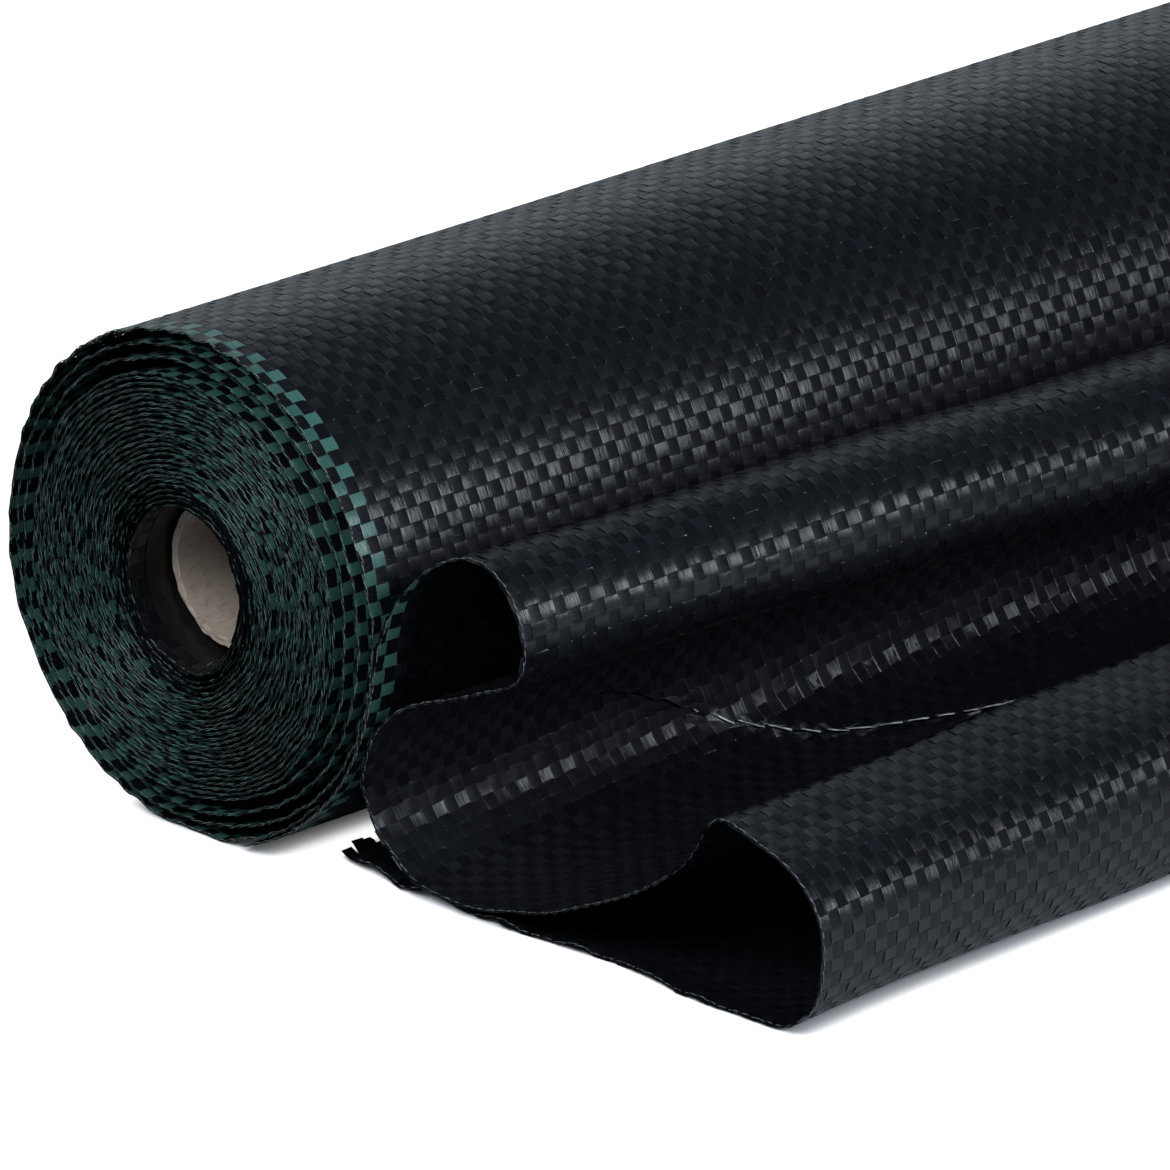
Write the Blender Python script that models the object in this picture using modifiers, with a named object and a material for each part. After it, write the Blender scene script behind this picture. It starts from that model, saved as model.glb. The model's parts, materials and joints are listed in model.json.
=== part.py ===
"""Roll of woven landscape fabric on a cardboard core, with its loose end folded beside it.

Lengths are in metres. The roll's axis runs along +Y from the end with the green marker tapes, the
loose end lies towards +X, +Z is up and the floor is at zero. The origin is on the floor under the
middle of the whole object.
"""

import math

import bmesh
import bpy
from mathutils import Vector

# Fabric
FABRIC_WIDTH = 0.305
FABRIC_THICKNESS = 0.0005
MARKER_STRIPE_WIDTH = 0.006
STRIPE_GAP = 0.0003

# Cardboard core
CORE_RADIUS = 0.0145
CORE_WALL = 0.0016
CORE_SET_BACK = 0.010
CORE_SIDES = 48
MERGE_DISTANCE = 0.00001

# Windings
ROLL_RADIUS = 0.049
CORE_CLEARANCE = 0.0003
TIGHT_TURNS = 18
LOOSE_TURNS = 3
LOOSE_PITCH = 0.0026
CORE_SAG = 0.0014
FLAT_DEPTH = 0.0005
TUCK_GAP = 0.0005
TURN_POINTS = 18
OUTER_TURN_POINTS = 36
TUCK_POINTS = 3

# Directions around the roll's axis, in degrees from +X towards +Z
WRAP_START_ANGLE = -75
LEAVE_ANGLE = -10
SAG_ANGLE = -80
SAG_SPREAD_ANGLE = 26

# Loose end, and how finely it and its shading are divided
RUNNING_GAP = 0.0003
HUG_GAP = 0.0005
HUG_SLACK = 0.0017
ARCH_ONE_RISE = 0.020
ARCH_ONE_REACH = 0.0808
ARCH_ONE_DRIFT = 0.018
ARCH_TWO_HEIGHT = 0.0369
ARCH_TWO_REACH = 0.1595
ARCH_TWO_DRIFT = -0.0186
CUT_END_REACH = 0.031
CUT_END_SLANT = 0.010
NEAR_EDGE_SHIFT = 0.009
WRAP_STEPS = 8
CURVE_STEPS = 2
FLOOR_STEPS = 4
ACROSS_STEPS = 6
MARKER_FOLD_POINTS = 3
SHARP_ANGLE = 50

# First fold, rising from the roll: share of the way out from the roll to the reach, share of the
# rise above the roll's axis, share of the drift towards the far end, share of the near edge's shift
ARCH_ONE_SHARES = (
    (0.03, 0.13, 0.12, 0.10),
    (0.21, 0.75, 0.50, 0.45),
    (0.54, 1.00, 1.0, 0.90),
    (0.85, 0.79, 1.0, 0.90),
    (0.99, 0.40, 1.0, 0.90),
    (0.93, -0.03, 1.0, 0.90),
    (0.59, -0.33, 0.9, 0.85),
    (0.20, -0.50, 0.4, 0.55),
)

# The stretch that lies against the roll: direction in degrees, share of the slack that it stands
# off, share of the near edge's shift
HUG_SHARES = (
    (-16.5, 0.30, 0.22),
    (-22.0, 0.06, 0.05),
    (-29.7, 0.20, 0.22),
    (-35.2, 1.00, 0.40),
)

# Valley and second fold: share of the way out from the roll to the reach, share of the height
# above the floor, share of the drift, share of the near edge's shift
ARCH_TWO_SHARES = (
    (-0.057, 0.404, 0.0, 0.56),
    (-0.049, 0.273, 0.0, 0.62),
    (-0.017, 0.190, 0.0, 0.67),
    (0.040, 0.087, 0.0, 0.67),
    (0.149, 0.046, 0.1, 0.67),
    (0.245, 0.070, 0.2, 0.67),
    (0.390, 0.200, 0.6, 0.67),
    (0.551, 0.430, 0.9, 0.67),
    (0.678, 0.683, 1.0, 0.67),
    (0.727, 0.888, 1.0, 0.67),
    (0.763, 1.000, 1.0, 0.67),
    (0.850, 0.945, 1.0, 0.67),
    (0.940, 0.830, 1.0, 0.67),
    (0.992, 0.642, 1.0, 0.67),
    (1.000, 0.437, 1.0, 0.67),
    (0.987, 0.219, 1.0, 0.67),
    (0.942, 0.060, 1.0, 0.67),
    (0.905, 0.000, 1.0, 0.67),
    (0.822, 0.000, 0.9, 0.70),
)

# Share of the marker tapes' width that the slanting cut leaves, at the last points that it crosses
MARKER_END_SHARES = (1.0, 0.6, 0.2)

HALF_THICKNESS = FABRIC_THICKNESS / 2
AXIS_HEIGHT = ROLL_RADIUS - FLAT_DEPTH
INNER_TURN_RADIUS = CORE_RADIUS + CORE_CLEARANCE + HALF_THICKNESS
OUTER_TURN_RADIUS = ROLL_RADIUS - HALF_THICKNESS
LOOSE_START_RADIUS = OUTER_TURN_RADIUS - LOOSE_TURNS * LOOSE_PITCH
TIGHT_PITCH = (LOOSE_START_RADIUS - INNER_TURN_RADIUS) / TIGHT_TURNS
TURNS = TIGHT_TURNS + LOOSE_TURNS
RAMP_SHARE = (LEAVE_ANGLE - WRAP_START_ANGLE) / 360
WRAP_STEP_ANGLE = (LEAVE_ANGLE - WRAP_START_ANGLE) / WRAP_STEPS
WRAP_RADIUS = (ROLL_RADIUS + RUNNING_GAP + HALF_THICKNESS) / math.cos(math.radians(WRAP_STEP_ANGLE / 2))
HUG_RADIUS = WRAP_RADIUS + FABRIC_THICKNESS + HUG_GAP
STRIPE_EDGE = MARKER_STRIPE_WIDTH + STRIPE_GAP
MARKER_LAST_STATION = WRAP_STEPS + MARKER_FOLD_POINTS * CURVE_STEPS


def around_axis(radius, angle):
    """The point at this radius and direction from the roll's axis, as (x, z)."""
    turn = math.radians(angle)
    return radius * math.cos(turn), radius * math.sin(turn)


def eased(share):
    """A share from 0 to 1, eased at both ends."""
    share = min(max(share, 0), 1)
    return share * share * (3 - 2 * share)


def turn_radius(turned):
    """The radius of the middle of the fabric after this many turns from its inner end.

    The tight turns spiral evenly. Each loose turn climbs where the loose end covers it and is
    round from there on, and past the last turn the fabric tucks in under the loose end.
    """
    if turned <= TIGHT_TURNS:
        return INNER_TURN_RADIUS + turned * TIGHT_PITCH
    if turned <= TURNS:
        whole = min(int(turned - TIGHT_TURNS), LOOSE_TURNS - 1)
        part = turned - TIGHT_TURNS - whole
        return LOOSE_START_RADIUS + (whole + eased(part / RAMP_SHARE)) * LOOSE_PITCH
    tuck_turns = TUCK_POINTS / OUTER_TURN_POINTS
    climbed = eased(tuck_turns / RAMP_SHARE) * LOOSE_PITCH
    tuck_depth = LOOSE_PITCH - climbed - FABRIC_THICKNESS - TUCK_GAP
    return OUTER_TURN_RADIUS - max(tuck_depth, 0) * eased((turned - TURNS) / tuck_turns)


def sag(turned, angle):
    """How far the inner turns hang off the core, in a soft corner below it."""
    off = (angle - SAG_ANGLE + 180) % 360 - 180
    corner = math.exp(-((off / SAG_SPREAD_ANGLE) ** 2))
    return CORE_SAG * corner * eased(turned / 2) * (1 - eased(turned / (TIGHT_TURNS - LOOSE_TURNS)))


def winding_point(turned):
    """The middle of the fabric after this many turns, as (x, z) from the roll's axis."""
    angle = WRAP_START_ANGLE + 360 * (turned - TURNS)
    x, z = around_axis(turn_radius(turned) + sag(turned, angle), angle)
    return x, max(z, HALF_THICKNESS - AXIS_HEIGHT)


def winding_stations():
    """The turns counted at each point of the winding, closer together round the outer turn."""
    inner = [step / TURN_POINTS for step in range((TURNS - 1) * TURN_POINTS)]
    outer = [TURNS - 1 + step / OUTER_TURN_POINTS for step in range(OUTER_TURN_POINTS + TUCK_POINTS + 1)]
    return inner + outer


def smooth_through(points, steps):
    """A smooth run through the points, with this many steps between each two."""
    ends = [points[0]] + list(points) + [points[-1]]
    run = []
    for before, start, end, after in zip(ends, ends[1:], ends[2:], ends[3:]):
        for step in range(steps):
            t = step / steps
            run.append(
                start * (2 - 5 * t**2 + 3 * t**3) / 2
                + end * (t + 4 * t**2 - 3 * t**3) / 2
                + before * (-t + 2 * t**2 - t**3) / 2
                + after * (t**3 - t**2) / 2
            )
    return run + [points[-1]]


def fold_points(across):
    """The points that the loose end's folds run through, this share of the way to the far end.

    Each is (x, near edge's shift, z) from the roll's axis at the near end.
    """
    points = []
    for out, rise, drift, shift in ARCH_ONE_SHARES:
        x = WRAP_RADIUS + out * (ARCH_ONE_REACH - WRAP_RADIUS) + drift * across * ARCH_ONE_DRIFT
        points.append(Vector((x, shift * NEAR_EDGE_SHIFT, rise * ARCH_ONE_RISE)))
    for angle, slack, shift in HUG_SHARES:
        x, z = around_axis(HUG_RADIUS + slack * HUG_SLACK, angle)
        points.append(Vector((x, shift * NEAR_EDGE_SHIFT, z)))
    for out, height, drift, shift in ARCH_TWO_SHARES:
        x = WRAP_RADIUS + out * (ARCH_TWO_REACH - WRAP_RADIUS) + drift * across * ARCH_TWO_DRIFT
        z = HALF_THICKNESS + height * (ARCH_TWO_HEIGHT - FABRIC_THICKNESS) - AXIS_HEIGHT
        points.append(Vector((x, shift * NEAR_EDGE_SHIFT, z)))
    return points


def kept_out(point, least_radius):
    """The point, moved straight away from the roll's axis if it is nearer than the least radius."""
    scale = max(1, least_radius / math.hypot(point.x, point.z))
    return Vector((point.x * scale, point.y, point.z * scale))


def loose_end_section(across):
    """The middle of the loose end, this share of the way across the fabric, as (x, y, z) points."""
    floor = HALF_THICKNESS - AXIS_HEIGHT
    wrap = []
    for step in range(WRAP_STEPS + 1):
        x, z = around_axis(WRAP_RADIUS, WRAP_START_ANGLE + step * WRAP_STEP_ANGLE)
        wrap.append(Vector((x, 0, z)))
    folds = smooth_through([wrap[-1]] + fold_points(across), CURVE_STEPS)
    shelf = len(ARCH_ONE_SHARES) * CURVE_STEPS
    leg = [kept_out(point, WRAP_RADIUS) for point in folds[:shelf]]
    folds = leg + [kept_out(point, HUG_RADIUS) for point in folds[shelf:]]
    slant = eased(across * ACROSS_STEPS) * CUT_END_SLANT
    cut_end = Vector((CUT_END_REACH - slant, NEAR_EDGE_SHIFT, floor))
    panel = [folds[-1].lerp(cut_end, step / FLOOR_STEPS) for step in range(1, FLOOR_STEPS + 1)]
    from_near_edge = Vector((0, across * FABRIC_WIDTH, 0))
    section = [point + from_near_edge for point in wrap[:-1] + folds + panel]
    for point in section:
        point.z = max(point.z, floor)
    return section


def marker_width(station):
    """The width of the marker tapes here on the loose end, before the slanting cut ends them."""
    from_last = MARKER_LAST_STATION - station
    if from_last >= len(MARKER_END_SHARES):
        return MARKER_STRIPE_WIDTH
    return MARKER_STRIPE_WIDTH * MARKER_END_SHARES[-1 - from_last]


def line_in_from_edge(widths):
    """The line on the loose end that is this far in from its near edge at each station."""
    edge, inner = loose_end_section(0), loose_end_section(STRIPE_EDGE / FABRIC_WIDTH)
    return [start.lerp(end, width / STRIPE_EDGE) for start, end, width in zip(edge, inner, widths)]


def finish_of(name, colour, roughness):
    """A Principled material."""
    material = bpy.data.materials.new(name)
    material.use_nodes = True
    shader = material.node_tree.nodes["Principled BSDF"]
    shader.inputs["Base Color"].default_value = colour
    shader.inputs["Roughness"].default_value = roughness
    shader.inputs["Metallic"].default_value = 0
    return material


def new_piece(name, mesh_builder, material, parent):
    """A named object from the builder's mesh, smooth shaded, under its parent."""
    mesh = bpy.data.meshes.new(name)
    mesh_builder.to_mesh(mesh)
    mesh_builder.free()
    mesh.shade_smooth()
    mesh.set_sharp_from_angle(angle=math.radians(SHARP_ANGLE))
    mesh.materials.append(material)
    piece = bpy.data.objects.new(name, mesh)
    piece.parent = parent
    parts.objects.link(piece)
    return piece


def swept_sheet(name, sections, material, parent):
    """A sheet of fabric swept through the sections, with the fabric's thickness."""
    builder = bmesh.new()
    chain = [builder.verts.new(point) for point in sections[0]]
    edges = [builder.edges.new(pair) for pair in zip(chain, chain[1:])]
    for section in sections[1:]:
        grown = bmesh.ops.extrude_edge_only(builder, edges=edges)["geom"]
        edges = [item for item in grown if isinstance(item, bmesh.types.BMEdge) and not item.link_faces[1:]]
        edges = [edge for edge in edges if all(vert in grown for vert in edge.verts)]
        chain = moved_chain(edges, chain, section)
    bmesh.ops.recalc_face_normals(builder, faces=builder.faces)
    piece = new_piece(name, builder, material, parent)
    wall = piece.modifiers.new("fabric_thickness", "SOLIDIFY")
    wall.thickness = FABRIC_THICKNESS
    wall.offset = 0
    wall.use_even_offset = True
    return piece


def moved_chain(edges, chain, section):
    """The extruded copy of the chain, moved onto the next section."""
    copies = {}
    for edge in edges:
        for vert in edge.verts:
            copies[tuple(vert.co)] = vert
    moved = [copies[tuple(vert.co)] for vert in chain]
    for vert, point in zip(moved, section):
        vert.co = point
    return moved


def wound_sheet(name, near, far, material, parent):
    """The winding's share of the fabric between two places across its width."""
    middle = [winding_point(turned) for turned in winding_stations()]
    sections = [[Vector((x, y, z)) for x, z in middle] for y in (near, far)]
    return swept_sheet(name, sections, material, parent)


def loose_end(material, parent):
    """The black fabric of the loose end, beside the marker tapes and past their end."""
    beside = [marker_width(station) + STRIPE_GAP for station in range(MARKER_LAST_STATION + 1)]
    past = [0] * (len(loose_end_section(0)) - len(beside))
    sections = [line_in_from_edge(beside + past)]
    for step in range(1, ACROSS_STEPS + 1):
        sections.append(loose_end_section(step / ACROSS_STEPS))
    return swept_sheet("loose_end", sections, material, parent)


def loose_end_marker_tapes(material, parent):
    """The marker tapes of the loose end, which the slanting cut ends at the first fold's crest."""
    widths = [marker_width(station) for station in range(MARKER_LAST_STATION + 1)]
    sections = [line_in_from_edge([0] * len(widths)), line_in_from_edge(widths)]
    return swept_sheet("loose_end_marker_tapes", sections, material, parent)


def cardboard_core(material, parent):
    """The tube that the fabric is wound on, turned about the roll's axis."""
    builder = bmesh.new()
    ends = (CORE_SET_BACK, FABRIC_WIDTH - CORE_SET_BACK)
    inner_radius = CORE_RADIUS - CORE_WALL
    corners = ((CORE_RADIUS, ends[0]), (inner_radius, ends[0]), (inner_radius, ends[1]), (CORE_RADIUS, ends[1]))
    profile = [builder.verts.new((radius, y, 0)) for radius, y in corners]
    for start, end in zip(profile, profile[1:] + profile[:1]):
        builder.edges.new((start, end))
    piece = new_piece("cardboard_core", builder, material, parent)
    turned = piece.modifiers.new("turned", "SCREW")
    turned.axis = "Y"
    turned.angle = math.radians(360)
    turned.steps = CORE_SIDES
    turned.render_steps = CORE_SIDES
    turned.use_merge_vertices = True
    turned.merge_threshold = MERGE_DISTANCE
    return piece


def least_gap_between_turns():
    """The least gap between a turn and the next one out, measured on the winding's points."""
    gaps = []
    for turned in winding_stations():
        if turned + 1 > TURNS + TUCK_POINTS / OUTER_TURN_POINTS:
            break
        inner, outer = winding_point(turned), winding_point(turned + 1)
        gaps.append(math.dist(inner, outer) * math.cos(math.pi / TURN_POINTS) - FABRIC_THICKNESS)
    return min(gaps)


def stand_on_origin(pieces, base):
    """Moves the base so that the origin is under the middle of all the pieces."""
    bpy.context.view_layer.update()
    graph = bpy.context.evaluated_depsgraph_get()
    points = []
    for piece in pieces:
        shape = piece.evaluated_get(graph)
        points += [shape.matrix_world @ vert.co for vert in shape.data.vertices]
    for axis in (0, 1):
        places = [point[axis] for point in points]
        base.location[axis] -= (min(places) + max(places)) / 2
    bpy.context.view_layer.update()


for leftover in list(bpy.data.objects):
    bpy.data.objects.remove(leftover)

parts = bpy.data.collections.new("landscape_fabric_roll")
bpy.context.scene.collection.children.link(parts)

floor_base = bpy.data.objects.new("floor_base", None)
roll_axis = bpy.data.objects.new("roll_axis", None)
laid_fold = bpy.data.objects.new("laid_fold", None)
for empty in (floor_base, roll_axis, laid_fold):
    parts.objects.link(empty)
for empty in (roll_axis, laid_fold):
    empty.parent = floor_base
    empty.location.z = AXIS_HEIGHT

black_weave = finish_of("black_weave", (0.012, 0.014, 0.018, 1), 0.38)
green_tape = finish_of("green_tape", (0.04, 0.20, 0.13, 1), 0.36)
brown_board = finish_of("brown_board", (0.38, 0.28, 0.19, 1), 0.92)

pieces = [
    cardboard_core(brown_board, roll_axis),
    wound_sheet("wound_fabric", STRIPE_EDGE, FABRIC_WIDTH, black_weave, roll_axis),
    wound_sheet("wound_marker_tapes", 0, MARKER_STRIPE_WIDTH, green_tape, roll_axis),
    loose_end(black_weave, laid_fold),
    loose_end_marker_tapes(green_tape, laid_fold),
]
stand_on_origin(pieces, floor_base)

print("roll axis at", [round(value, 6) for value in roll_axis.matrix_world.translation])
print("pitch of the tight turns", round(TIGHT_PITCH, 6))
print("least gap between turns", round(least_gap_between_turns(), 6))
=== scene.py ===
import json
import math

import bmesh
import bpy
import numpy as np
from mathutils import Matrix, Vector


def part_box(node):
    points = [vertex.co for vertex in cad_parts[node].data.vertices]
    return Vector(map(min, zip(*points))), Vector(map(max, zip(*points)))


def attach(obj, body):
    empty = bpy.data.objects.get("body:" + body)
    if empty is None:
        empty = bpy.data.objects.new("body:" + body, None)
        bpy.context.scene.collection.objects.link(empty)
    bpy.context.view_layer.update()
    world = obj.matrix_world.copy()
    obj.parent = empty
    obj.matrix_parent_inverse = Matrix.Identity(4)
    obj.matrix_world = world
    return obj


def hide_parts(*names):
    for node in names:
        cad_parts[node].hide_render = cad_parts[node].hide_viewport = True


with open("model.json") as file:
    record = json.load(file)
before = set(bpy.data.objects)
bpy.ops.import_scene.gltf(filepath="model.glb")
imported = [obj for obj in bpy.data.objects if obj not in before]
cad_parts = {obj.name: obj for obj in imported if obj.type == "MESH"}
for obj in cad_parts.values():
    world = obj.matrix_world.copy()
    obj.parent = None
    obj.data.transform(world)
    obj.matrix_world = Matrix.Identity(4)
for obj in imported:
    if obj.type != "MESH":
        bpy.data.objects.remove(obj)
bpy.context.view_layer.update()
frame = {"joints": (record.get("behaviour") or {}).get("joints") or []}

# The roll's axis runs along +Y from the near end, which shows the green marker tapes. The shapes
# below are worked out from that end of the axis, and then moved to its place in the object.
AXIS_X, _, AXIS_HEIGHT = frame["joints"][0]["pos_m"]
NEAR_END_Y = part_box("wound_marker_tapes")[0][1]
AXIS_START = np.array((AXIS_X, NEAR_END_Y, AXIS_HEIGHT))

# Camera, from the roll's near end
VIEW_RIGHT = (0.703, 0.711, 0.0)
VIEW_FORWARD = (-0.669, 0.661, -0.3387)
VIEW_DISTANCE = 2.957
AIM_RIGHT = 0.0732
AIM_UP = 0.00055
LENS = 492.3
SENSOR_WIDTH = 36
NEAREST_SEEN = 0.1
FURTHEST_SEEN = 30

# Fabric as in the CAD, apart from the tight turns: the CAD has 18 of them in the same space
FABRIC_WIDTH = 0.305
FABRIC_THICKNESS = 0.0005
CORE_RADIUS = 0.0145
CORE_WALL = 0.0016
CORE_SET_BACK = 0.010
ROLL_RADIUS = 0.049
CORE_CLEARANCE = 0.0003
TIGHT_TURNS = 27
LOOSE_TURNS = 3
LOOSE_PITCH = 0.0026
CORE_SAG = 0.0014
TUCK_GAP = 0.0005
TUCK_TURNS = 1 / 12
WRAP_START_ANGLE = -75
LEAVE_ANGLE = -10
SAG_ANGLE = -80
SAG_SPREAD_ANGLE = 26
SAG_START_TURNS = 2
RUNNING_GAP = 0.0003
WRAP_CLEARANCE = 0.0001
HUG_GAP = 0.0005
HUG_SLACK = 0.0017
ARCH_ONE_RISE = 0.020
ARCH_ONE_REACH = 0.0808
ARCH_ONE_DRIFT = 0.018
ARCH_TWO_HEIGHT = 0.0369
ARCH_TWO_REACH = 0.1595
ARCH_TWO_DRIFT = -0.0186
CUT_END_REACH = 0.031
CUT_END_SLANT = 0.010
NEAR_EDGE_SHIFT = 0.009
ACROSS_STEPS = 6

# First fold: share of the way out, share of the rise, share of the drift, share of the shift
ARCH_ONE_SHARES = (
    (0.03, 0.13, 0.12, 0.10),
    (0.21, 0.75, 0.50, 0.45),
    (0.54, 1.00, 1.0, 0.90),
    (0.85, 0.79, 1.0, 0.90),
    (0.99, 0.40, 1.0, 0.90),
    (0.93, -0.03, 1.0, 0.90),
    (0.59, -0.33, 0.9, 0.85),
    (0.20, -0.50, 0.4, 0.55),
)
CREST_POINT = 3
# Against the roll: direction in degrees, share of the slack, share of the shift
HUG_SHARES = (
    (-16.5, 0.30, 0.22),
    (-22.0, 0.06, 0.05),
    (-29.7, 0.20, 0.22),
    (-35.2, 1.00, 0.40),
)
# Second fold: share of the way out, share of the height, share of the drift, share of the shift
ARCH_TWO_SHARES = (
    (-0.057, 0.404, 0.0, 0.56),
    (-0.049, 0.273, 0.0, 0.62),
    (-0.017, 0.190, 0.0, 0.67),
    (0.040, 0.087, 0.0, 0.67),
    (0.149, 0.046, 0.1, 0.67),
    (0.245, 0.070, 0.2, 0.67),
    (0.390, 0.200, 0.6, 0.67),
    (0.551, 0.430, 0.9, 0.67),
    (0.678, 0.683, 1.0, 0.67),
    (0.727, 0.888, 1.0, 0.67),
    (0.763, 1.000, 1.0, 0.67),
    (0.850, 0.945, 1.0, 0.67),
    (0.940, 0.830, 1.0, 0.67),
    (0.992, 0.642, 1.0, 0.67),
    (1.000, 0.437, 1.0, 0.67),
    (0.987, 0.219, 1.0, 0.67),
    (0.942, 0.060, 1.0, 0.67),
    (0.905, 0.000, 1.0, 0.67),
    (0.822, 0.000, 0.9, 0.70),
)
# Near edge of the panel on the floor: x from the axis, then y from the near end
PANEL_EDGE = (
    (0.0278, 0.0333, 0.0389, 0.0461, 0.0489, 0.0613, 0.0804, 0.0946, 0.106, 0.1221, 0.1421, 0.1503),
    (0.0106, 0.0078, 0.0073, 0.0063, 0.0050, 0.0051, 0.0057, 0.0071, 0.0083, 0.0060, 0.0057, 0.0056),
)
PANEL_EDGE_SHARE = 0.72
PANEL_EDGE_REACH = 0.06
PANEL_LENGTH = 0.125
PANEL_BLEND = 0.02
PANEL_LIFT = 0.0007
PANEL_LIFT_WAVELENGTH = 0.012
PANEL_LIFT_REACH = 0.02
# Edge of the pleat that lies over the valley: y from the near end, then x and z from the axis
PLEAT_LINE = (
    (0.065, 0.104, 0.128, 0.150, 0.200, 0.305),
    (0.0455, 0.0500, 0.0580, 0.0640, 0.0700, 0.0740),
    (-0.023, -0.041, -0.045, -0.046, -0.0465, -0.0467),
)
VALLEY_REACH = 0.14
PLEAT_SMOOTH_REACH = 3
PLEAT_DEPTH = 0.0013
PLEAT_OVERHANG = 0.0024
PLEAT_REACH = 0.024
PLEAT_START = 0.044
PLEAT_SPREAD = 0.060
PLEAT_TURN_IN = 0.0005
PLEAT_TURN_SHARE = 0.35

HALF_THICKNESS = FABRIC_THICKNESS / 2
INNER_TURN_RADIUS = CORE_RADIUS + CORE_CLEARANCE + HALF_THICKNESS
OUTER_TURN_RADIUS = ROLL_RADIUS - HALF_THICKNESS
LOOSE_START_RADIUS = OUTER_TURN_RADIUS - LOOSE_TURNS * LOOSE_PITCH
TIGHT_PITCH = (LOOSE_START_RADIUS - INNER_TURN_RADIUS) / TIGHT_TURNS
TURNS = TIGHT_TURNS + LOOSE_TURNS
RAMP_SHARE = (LEAVE_ANGLE - WRAP_START_ANGLE) / 360
WRAP_RADIUS = ROLL_RADIUS + RUNNING_GAP + HALF_THICKNESS + WRAP_CLEARANCE
HUG_RADIUS = WRAP_RADIUS + FABRIC_THICKNESS + HUG_GAP
FLOOR = HALF_THICKNESS - AXIS_HEIGHT

# Steps that the forms are worked out in
GRID_STEP = 0.001
LOOSE_GRID_STEP = 0.00025
LOOSE_GRID_COLUMNS = 60
SPIRAL_STEPS = 24000
FOLD_STEPS = 24
WRAP_POINTS = 65
PANEL_POINTS = 90
SPARE_LENGTH = 0.012
SPARE_ROWS_LENGTH = 0.006
SMOOTH_ROUNDS = 3
SMOOTH_REACH = 4
TINY = 1e-12
# Keeps a place at the end of a grid inside its last cell
GRID_MARGIN = 1.001
# A wave is a sum of cosines, their wavelengths spread between these shares of its own
COSINES = 14
COSINE_SPREAD = (0.75, 1.5)
COSINE_LEVEL = 0.6

# Weave
WARP_COUNT = 102
WARP_PITCH = FABRIC_WIDTH / WARP_COUNT
WEFT_PITCH = 0.0029
MARKER_TAPES = 2
TAPE_SHARE = 1.12
FLOAT_SHARES = (-0.452, -0.25, 0.25, 0.452)
FLOAT_HEIGHT_SHARES = (0.62, 1.0, 1.0, 0.62)
DIP_SHARE = 0.155
CRIMP = 0.00011
SELVAGE_TAPES = 4
FAR_SELVAGE_TAPES = 2
LEAST_TAPE_WIDTH = 0.0003
LEAST_STATION_GAP = 0.00005
FIRST_TAPE_INSET = 0.0002
WEFT_OVERLAP = 0.0001
WEFT_STICK_OUT = (0.0001, 0.0006)
CUT_UNEVENNESS = (-0.0015, 0.0035)
FRAY_LENGTH = 0.009
FRAY_RISE = (-0.001, 0.0042)
FRAY_SHIFT = (-0.0012, 0.0012)
TAPE_FLOOR = 0.00008
# The UV map "tape" keeps each tape in a lane of its own, this far from the last one's
TAPE_LANE = 0.01
WEFT_LANES = 400
FIRST_WEFT_LANE = 200
# The UV map "OFBake" lays them in rows, this share of a row apart
ROW_SPARE = 1.0001
ROW_EDGES = (0.06, 0.94)
BAKE_MARGIN = 0.01

# How the winding's edges stand out, lean and are cut away
EDGE_WIDTHS = (-0.003, -0.001, 0.0005, 0.002, 0.0035, 0.005, 0.0075, 0.011, 0.016, 0.022)
EDGE_REACH = 0.016
FLARE_REACH = 0.0045
LEAN = 0.0030
LEANING_TURNS = 7
TURN_SET_BACK = 0.00065
INNER_STAND_OUT = 0.0012
INNER_CUT_TAPES = 1.1
INNER_CUT_TURN = 2.4
INNER_CUT_TURNS = 2.6
LOOSE_CUT_TAPES = 1.05
EDGE_SPARE = 0.003
# Turns in from the outside where a turn starts to count as an inner one, and over how many turns
INSIDE_START = 0.9
INSIDE_TURNS = 2
# Share of a wave that the outer turns keep, and that their edges' sliding keeps
OUTER_BULGE_SHARE = 0.35
OUTER_SLIDE_SHARE = 0.6

# Waves in the fabric, each as its size, its wavelength and the seed of its randomness
PACE_WAVE = (0.0016, 0.09, 13)
TURN_WAVE = (0.00020, 0.0045, 5)
TURN_WAVE_RADIUS = 0.012
ROLL_WAVE = (0.00022, 0.030, 6)
ROLL_WAVE_STRETCH = 0.3
EDGE_WAVE = (0.00008, 0.012, 7)
FLARE_WAVE = (1.0, 0.0065, 10)
OUTER_FLARE = 0.00024
INNER_FLARE = 0.00010
NEAR_SLIDE_WAVES = ((0.00045, 0.045, 8), (0.0002, 0.012, 11))
FAR_SLIDE_WAVES = ((0.00045, 0.045, 9), (0.0002, 0.012, 12))
LOOSE_WAVES = ((0.00045, 0.034, 21), (0.00018, 0.014, 22))
LOOSE_WAVE_STRETCH = 0.35
LOOSE_WAVE_START = 0.02
LIFT_SEED = 23
# The same for each tape's place, width and tilt, where the weave's seed and the tape's number are added
WARP_WAVES = ((0.00010, 0.05, 0), (0.03, 0.02, 200), (0.00005, 0.011, 400))
WEFT_WAVES = ((0.00008, 0.04, 900), (0.02, 0.02, 2900), (0.00005, 0.011, 4900))

# Threads
THREAD_SIDES = 4
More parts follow.
